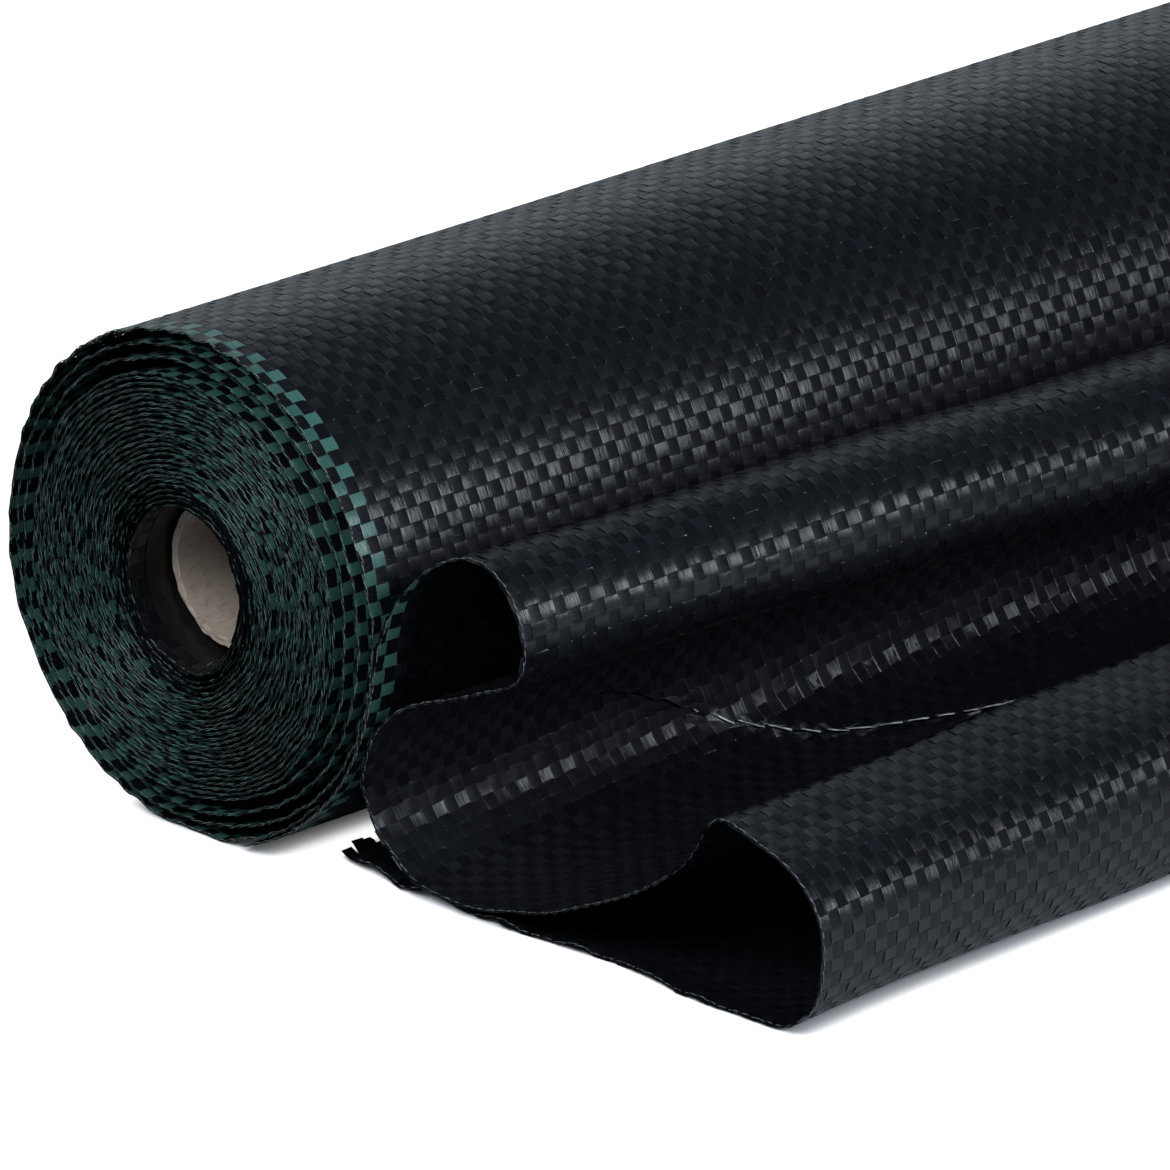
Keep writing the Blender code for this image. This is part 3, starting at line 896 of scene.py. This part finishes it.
def tape_finish(name, dark, light, edge, roughness, gloss=0.5):
    """Slit film tape: fine lengthwise streaks, a soft crown, each tape a little different, and a painted
    highlight along its edges.
    """
    f = Finish(name)
    uv = f.lanes()
    along = f.node("ShaderNodeSeparateXYZ", None, {0: uv}, output=0)
    side = f.node("ShaderNodeSeparateXYZ", None, {0: uv}, output=1)
    tape = (side * (1 / TAPE_LANE)).floor()
    across = (side - tape * TAPE_LANE) * (2 / (WARP_PITCH * TAPE_SHARE)) - 1

    def streaks(length, width, apart, **more):
        return f.noise(f.place(along / length, side / width, tape * apart), **more)

    fine = streaks(*FINE_STREAKS, Roughness=0.5)
    broad = streaks(*BROAD_STREAKS, Roughness=0.5)
    cloudy = streaks(*CLOUDS)
    which = f.node("ShaderNodeTexWhiteNoise", {"noise_dimensions": "1D"}, {"W": tape})
    crown = across * across * TAPE_CROWN
    height = fine * FINE_HEIGHT + broad * BROAD_HEIGHT + cloudy * CLOUD_HEIGHT - crown
    shade = (fine - 0.5) * 0.5 + (which - 0.5) * 0.5 + (cloudy - 0.5) * 0.5 + 0.5
    # Painted highlight: the base colour turns towards the edge colour at each tape's edges, where raised
    # edges catch the light
    edge_highlight = across.absolute().between(*EDGE_HIGHLIGHT)
    f.feed(
        Base_Color=f.blend(edge_highlight * 0.2, f.blend(shade, dark, light), edge),
        Roughness=(fine - 0.5) * 0.12 + (which - 0.5) * 0.06 + roughness,
        Specular_IOR_Level=gloss,
        Normal=f.bump(height, 1.0, 1.0),
    )
    return f.material


def inner_fabric_finish():
    """The fabric among the turns, which shows only in the gaps."""
    f = Finish("shaded_weave")
    uv = f.lanes()
    checks = f.node("ShaderNodeTexChecker", None, {"Vector": uv, "Scale": 1 / WEFT_PITCH}, output=1)
    cloudy = f.noise(uv, 400.0, 3.0)
    f.feed(
        Base_Color=f.blend(cloudy, (0.0026, 0.0025, 0.0024), (0.0060, 0.0058, 0.0056)),
        Roughness=cloudy * 0.1 + 0.36,
        Normal=f.bump(checks + cloudy, 0.6, 0.0002),
    )
    return f.material


def thread_finish(name, dark, light, pace):
    """Binder thread, its shade changing every so far along it."""
    f = Finish(name)
    along = f.node("ShaderNodeSeparateXYZ", None, {0: f.lanes()}, output=0)
    settings = {"noise_dimensions": "1D"}
    grain = f.node("ShaderNodeTexNoise", settings, {"W": along / pace, "Scale": 1.0, "Detail": 2.0})
    f.feed(
        Base_Color=f.blend(grain.between(0.4, 0.62), dark, light),
        Roughness=grain * 0.15 + 0.25,
        Normal=f.bump(grain, 0.5, 0.0001),
    )
    return f.material


def card_finish():
    """Brown card: fibres along the tube, light flecks and soft stains."""
    f = Finish("brown_card")
    place = f.node("ShaderNodeTexCoord", output=3)
    fibres = f.node("ShaderNodeMapping", None, {"Vector": place, "Scale": (1.0, 0.35, 1.0)})
    grain = f.noise(fibres, 1100.0, 5.0, Roughness=0.65)
    flecks = f.noise(place, 420.0, 3.0)
    stains = f.noise(place, 70.0)
    base = f.blend(stains, (0.262, 0.211, 0.172), (0.360, 0.300, 0.250))
    darker = f.blend(grain.between(0.52, 0.72) * 0.55, base, (0.115, 0.085, 0.065))
    f.feed(
        Base_Color=f.blend(flecks.between(0.66, 0.74) * 0.7, darker, (0.38, 0.31, 0.25)),
        Roughness=grain * 0.1 + 0.85,
        Normal=f.bump(grain + flecks * 0.5, 0.7, 0.0003),
    )
    return f.material


# Tapes along the web catch the light; those across it are the same black film, rougher and less glossy, and
# their colours are painted darker as shade
# The third colour of each tape finish is the painted highlight on its tapes' edges
black_tape = tape_finish(
    "black_tape", (0.0027, 0.0033, 0.0050), (0.0064, 0.0075, 0.0104), (0.0125, 0.0145, 0.0185), 0.25
)
# Painted shade: the weft tapes' colours are darker than the warp tapes', though both are the same film
shaded_black_weft = tape_finish(
    "shaded_black_weft", (0.0017, 0.0021, 0.0034), (0.0044, 0.0052, 0.0075), (0.0110, 0.0130, 0.0170), 0.30, 0.30
)
green_tape = tape_finish(
    "green_tape", (0.020, 0.060, 0.052), (0.046, 0.124, 0.106), (0.062, 0.150, 0.132), 0.26
)
shaded_weave = inner_fabric_finish()
inner_thread = thread_finish("inner_thread", (0.010, 0.014, 0.016), (0.068, 0.120, 0.112), 0.0030)
outer_thread = thread_finish("outer_thread", (0.025, 0.032, 0.034), (0.15, 0.17, 0.17), 0.0011)
# Painted highlight: the pleat's threads are light grey where the fold's edge catches the light
pleat_glint_thread = thread_finish("pleat_glint_thread", (0.19, 0.205, 0.225), (0.55, 0.58, 0.62), 0.0040)
brown_card = card_finish()


# Pieces


def surface_piece(name, web, lengths, widths, finish):
    """A plain sheet over part of the web."""
    grid_length, grid_width = np.meshgrid(lengths, widths, indexing="ij")
    points = web.at(grid_length, grid_width)
    index = np.arange(grid_length.size).reshape(grid_length.shape)
    quads = np.stack([index[:-1, :-1], index[:-1, 1:], index[1:, 1:], index[1:, :-1]], axis=-1).reshape(-1, 4)
    mesh = bpy.data.meshes.new(name)
    mesh.from_pydata(points.reshape(-1, 3).tolist(), [], quads.tolist())
    mesh.shade_smooth()
    uv = np.stack([grid_length.ravel(), grid_width.ravel()], axis=1)
    low, high = uv.min(axis=0), uv.max(axis=0)
    filled = (uv - low) / (high - low) * (1 - 2 * BAKE_MARGIN) + BAKE_MARGIN
    add_uv(mesh, "OFBake", filled[quads.ravel()])
    add_uv(mesh, "tape", uv[quads.ravel()])
    return finished_piece(name, mesh, finish)


def twisted_threads(name, lines, radius, finish):
    """Fine threads, each a thin tube along its own line of points."""
    sides = np.arange(THREAD_SIDES)
    angles = sides[None, :, None] * 2 * math.pi / THREAD_SIDES
    points, quads, flat = [], [], []
    start = 0
    for line in lines:
        heading = np.gradient(line, axis=0)
        heading /= np.linalg.norm(heading, axis=1, keepdims=True)
        first = np.cross(heading, np.array(OFF_THREAD))
        first /= np.linalg.norm(first, axis=1, keepdims=True)
        second = np.cross(heading, first)
        ring = line[:, None] + radius * (np.cos(angles) * first[:, None] + np.sin(angles) * second[:, None])
        points.append(ring.reshape(-1, 3))
        count = len(line)
        level = start + np.arange(count - 1)[:, None] * THREAD_SIDES
        low, turn = level + sides, level + (sides + 1) % THREAD_SIDES
        corners = [low, turn, turn + THREAD_SIDES, low + THREAD_SIDES]
        quads.append(np.stack(corners, axis=-1).reshape(-1, 4))
        run = np.concatenate([[0], np.cumsum(np.linalg.norm(np.diff(line, axis=0), axis=1))])
        v0 = np.tile(sides / THREAD_SIDES, count - 1) * THREAD_LANE
        u0, u1 = np.repeat(run[:-1], THREAD_SIDES), np.repeat(run[1:], THREAD_SIDES)
        flat.append(square_uv(u0, u1, v0, v0 + THREAD_LANE / THREAD_SIDES))
        start += count * THREAD_SIDES
    points, quads, flat = np.concatenate(points), np.concatenate(quads), np.concatenate(flat)
    points[:, 2] = np.maximum(points[:, 2], THREAD_FLOOR)
    mesh = bpy.data.meshes.new(name)
    mesh.from_pydata(points.tolist(), [], quads.tolist())
    mesh.shade_smooth()
    add_uv(mesh, "tape", flat)
    return finished_piece(name, mesh, finish)


def binder_lines(web, step, edge, seed, last=None):
    """Two threads twisted round each other along an edge."""
    lengths = np.arange(web.first, last or web.last, step)
    lines = []
    for phase in (0, math.pi):
        turn = lengths / WEFT_PITCH * math.pi + phase
        wander = wave(lengths[:, None], *THREAD_WANDER, seed)
        width = edge(lengths) + THREAD_INSET + THREAD_TWIST * np.cos(turn) + wander
        lines.append(web.at(lengths, width, THREAD_DEPTH * np.sin(turn)))
    return lines


def select_in_edit(mesh, parts, wanted):
    """Selects those of the mesh's faces or edges that are wanted, in edit mode."""
    bpy.ops.mesh.select_all(action="DESELECT")
    shell = bmesh.from_edit_mesh(mesh)
    for part in getattr(shell, parts):
        part.select = wanted(part)
    bmesh.update_edit_mesh(mesh)


def paper_core():
    """The glued paper tube: a cylinder bored out, its ends stepped where the plies are torn."""
    length = FABRIC_WIDTH - 2 * CORE_SET_BACK
    middle_y = NEAR_END_Y + FABRIC_WIDTH / 2
    bpy.ops.object.select_all(action="DESELECT")
    bpy.ops.mesh.primitive_cylinder_add(
        vertices=CORE_SIDES,
        radius=CORE_RADIUS,
        depth=length,
        end_fill_type="NGON",
        location=(AXIS_X, middle_y, AXIS_HEIGHT),
        rotation=(math.radians(90), 0, 0),
    )
    core = bpy.context.object
    core.name = "paper_core"
    bpy.ops.object.transform_apply(location=True, rotation=True, scale=True)
    mesh = core.data
    bpy.ops.object.mode_set(mode="EDIT")
    bpy.ops.mesh.select_mode(type="FACE")
    select_in_edit(mesh, "faces", lambda face: abs(face.normal.y) > 0.9)
    for _ in range(CORE_PLIES):
        bpy.ops.mesh.inset(thickness=CORE_WALL / CORE_PLIES)
    bpy.ops.mesh.bridge_edge_loops()
    select_in_edit(mesh, "edges", lambda edge: abs(edge.verts[0].co.y - edge.verts[1].co.y) > length / 2)
    bpy.ops.mesh.subdivide(number_cuts=CORE_CUTS)
    bpy.ops.object.mode_set(mode="OBJECT")
    for point in mesh.vertices:
        x, y, z = point.co.x - AXIS_X, point.co.y - middle_y, point.co.z - AXIS_HEIGHT
        if length / 2 - abs(y) < CORE_END_REACH:
            angle = math.atan2(z, x)
            round_it = (math.cos(angle), math.sin(angle))
            ragged = wave((*round_it, math.hypot(x, z) * TORN_PLY_SCALE), *TORN_WAVE)
            point.co.y -= math.copysign(TORN_DEPTH * (abs(ragged) + TORN_LEAST), y)
            out_by = wave(round_it, *CORE_DENT_WAVE)
            point.co.x += out_by * math.cos(angle)
            point.co.z += out_by * math.sin(angle)
    mesh.materials.clear()
    mesh.materials.append(brown_card)
    bpy.ops.object.shade_smooth_by_angle(angle=math.radians(CORE_SMOOTH_ANGLE))
    return core


# The roll: its outer turn woven whole, and the turns under it at their edges, over a plain sheet
OUTER_FIRST = TURNS - 1 - OUTER_OVERLAP
near_widths = np.array(EDGE_WIDTHS)
far_widths = FABRIC_WIDTH - near_widths[::-1]
middle_widths = np.linspace(MIDDLE_START, FABRIC_WIDTH - MIDDLE_START, MIDDLE_COLUMNS)
all_widths = np.concatenate([near_widths, middle_widths, far_widths])
outer = roll_web(OUTER_FIRST, TURNS + TUCK_TURNS, all_widths)
near_turns = roll_web(0, OUTER_FIRST, near_widths)
far_turns = roll_web(0, OUTER_FIRST, far_widths)
inner = roll_web(0, OUTER_FIRST, INNER_WIDTHS)


def inner_near_edge(length):
    return np.interp(length, near_turns.lengths(), inner_cut_away(near_turns.turned))


def far_edge(length):
    return np.full_like(length, FABRIC_WIDTH - 2 * THREAD_INSET)


roll_warp_tapes, roll_weft_tapes, roll_marker_tapes = tape_pieces(
    "roll",
    Weave(outer, 0, WARP_COUNT, seed=50),
    Weave(near_turns, 0, SELVAGE_TAPES, seed=60, near_edge=inner_near_edge),
    Weave(far_turns, WARP_COUNT - FAR_SELVAGE_TAPES, WARP_COUNT, seed=70),
)

inner_lengths = np.arange(inner.first, inner.last, SHEET_STEP)
rolled_fabric = surface_piece("rolled_fabric", inner, inner_lengths, SHEET_WIDTHS, shaded_weave)

roll_lines = binder_lines(outer, FINE_THREAD_STEP, np.zeros_like, seed=90)
turn_lines = binder_lines(near_turns, TURN_THREAD_STEP, inner_near_edge, seed=92)
far_lines = binder_lines(far_turns, FAR_THREAD_STEP, far_edge, seed=93)
far_lines += binder_lines(outer, FINE_THREAD_STEP, far_edge, seed=94)
roll_threads = twisted_threads("roll_threads", roll_lines, OUTER_THREAD_RADIUS, outer_thread)
turn_threads = twisted_threads("turn_threads", turn_lines, TURN_THREAD_RADIUS, inner_thread)
far_threads = twisted_threads("far_threads", far_lines, FAR_THREAD_RADIUS, outer_thread)
core = paper_core()

# The loose end
loose = loose_web()


def near_edge(length):
    return np.interp(length, loose.lengths(), loose.cut_away)


def cut(width):
    return np.interp(width, loose.widths, loose.limits)


def pleat_edge(width):
    """Where the fabric reaches the pleat's edge, and where it goes on from under it."""
    fold = np.interp(width, loose.widths, loose.fold)
    turn_in = np.interp(width, loose.widths, loose.turn_in)
    return fold - turn_in, fold + turn_in / 2


def pleat_lines():
    """Threads along the pleat's edge, light grey to paint the highlight where the fold's edge catches the
    light.
    """
    start = PLEAT_START + PLEAT_SPREAD * PLEAT_THREAD_START
    widths = np.arange(start, FABRIC_WIDTH - PLEAT_THREAD_SHORT, FINE_THREAD_STEP)
    fold = np.interp(widths, loose.widths, loose.fold) - PLEAT_THREAD_BACK
    turn = widths / WARP_PITCH * math.pi
    return [
        loose.at(fold + PLEAT_THREAD_TWIST * np.cos(turn + phase), widths, -CRIMP) for phase in (0, math.pi)
    ]


loose_warp_tapes, loose_weft_tapes, loose_marker_tapes = tape_pieces(
    "loose", Weave(loose, 0, WARP_COUNT, seed=7000, near_edge=near_edge, cut=cut, fold=pleat_edge)
)
thread_end = cut(LOOSE_THREAD_WIDTH) - LOOSE_THREAD_SHORT
loose_lines = binder_lines(loose, FINE_THREAD_STEP, near_edge, seed=91, last=thread_end)
loose_threads = twisted_threads("loose_threads", loose_lines, OUTER_THREAD_RADIUS, outer_thread)
pleat_threads = twisted_threads("pleat_threads", pleat_lines(), PLEAT_THREAD_RADIUS, pleat_glint_thread)

# What each piece rides on, and the CAD's own parts hidden
roll_fabric = [roll_weft_tapes, roll_marker_tapes, roll_threads, turn_threads, far_threads]
loose_fabric = [loose_weft_tapes, loose_marker_tapes, loose_threads, pleat_threads]
for piece in (core, rolled_fabric, roll_warp_tapes, *roll_fabric):
    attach(piece, "roll")
for piece in (loose_warp_tapes, *loose_fabric):
    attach(piece, "laid_out_end")
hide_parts("cardboard_core")
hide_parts("wound_fabric")
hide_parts("wound_marker_tapes")
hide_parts("loose_end")
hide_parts("loose_end_marker_tapes")
for piece in (rolled_fabric, roll_warp_tapes, *roll_fabric, loose_warp_tapes, *loose_fabric):
    "green_tape" if piece in (roll_marker_tapes, loose_marker_tapes) else "black_weave"
inner.last - inner.first
outer.last - outer.first

# Floor and light
FLOOR_SIZE = 12
FLOOR_COLOUR = (0.41, 0.43, 0.46, 1)
SHADOW_REACH = 0.0045
SHADOW_EDGES = (0.08, 0.80)
BLACK = (0.0, 0.0, 0.0)
LIT_POINT = (0.02, 0, 0.05)
FILL_LEVEL = 0.055
FILL_COLOUR = (0.80, 0.91, 1, 1)
WHITE = (1.0, 1.0, 1.0)
# Each softbox: where from, how far away, width, height, power and colour
SOFTBOXES = {
    "right_softbox": ((0.90, 0.06, 0.45), 1.4, 0.7, 0.45, 16.0, (0.87, 0.94, 1.0)),
    "front_softbox": ((0.20, -0.80, 0.75), 1.8, 1.2, 0.9, 31, (0.93, 0.97, 1.0)),
    "far_end_softbox": ((0.0, 1.0, 0.08), 1.6, 1.0, 0.3, 4.5, (0.90, 0.95, 1.0)),
    "back_left_softbox": ((-0.67, 0.66, 0.30), 1.8, 1.8, 0.9, 3.3, (0.82, 0.92, 1.0)),
}


def pale_floor():
    """A floor burnt out to white by a glow where the sky is open over it, so only close shadows show: near
    the object the glow fades, which paints those shadows.
    """
    bpy.ops.object.select_all(action="DESELECT")
    bpy.ops.mesh.primitive_plane_add(size=FLOOR_SIZE)
    floor = bpy.context.object
    floor.name = "floor"
    f = Finish("pale_floor")
    open_sky = f.node("ShaderNodeAmbientOcclusion", {"samples": 8}, {"Distance": SHADOW_REACH}, output=1)
    seen = f.node("ShaderNodeLightPath")
    # Painted shadow: the glow fades where the object closes the sky over the floor
    glow = f.blend(open_sky.between(*SHADOW_EDGES), BLACK, WHITE)
    f.feed(
        Base_Color=FLOOR_COLOUR,
        Roughness=0.9,
        Emission_Color=f.blend(seen, BLACK, glow),
        Emission_Strength=1.0,
    )
    floor.data.materials.append(f.material)


def studio_fill():
    """A dim bluish fill all round, seen as plain white."""
    world = bpy.data.worlds.new("studio")
    bpy.context.scene.world = world
    world.use_nodes = True
    tree = world.node_tree
    background = tree.nodes["Background"]
    path = tree.nodes.new("ShaderNodeLightPath")
    level = tree.nodes.new("ShaderNodeMapRange")
    level.inputs["To Min"].default_value = FILL_LEVEL
    level.inputs["To Max"].default_value = 1.0
    tint = tree.nodes.new("ShaderNodeMix")
    tint.data_type = "RGBA"
    tint.inputs[6].default_value = FILL_COLOUR
    tint.inputs[7].default_value = (*WHITE, 1)
    tree.links.new(path.outputs["Is Camera Ray"], level.inputs["Value"])
    tree.links.new(path.outputs["Is Camera Ray"], tint.inputs[0])
    tree.links.new(level.outputs[0], background.inputs["Strength"])
    tree.links.new(tint.outputs[2], background.inputs["Color"])


def softbox(name, heading, distance, width, height, power, colour):
    light = bpy.data.lights.new(name, "AREA")
    light.shape = "RECTANGLE"
    light.size, light.size_y, light.energy, light.color = width, height, power, colour
    lamp = bpy.data.objects.new(name, light)
    bpy.context.scene.collection.objects.link(lamp)
    heading = Vector(heading).normalized()
    lamp.location = Vector(LIT_POINT) + heading * distance
    lamp.rotation_mode = "QUATERNION"
    lamp.rotation_quaternion = heading.to_track_quat("Z", "Y")


pale_floor()
studio_fill()
for name, values in SOFTBOXES.items():
    softbox(name, *values)
bpy.context.scene.view_settings.view_transform = "Standard"
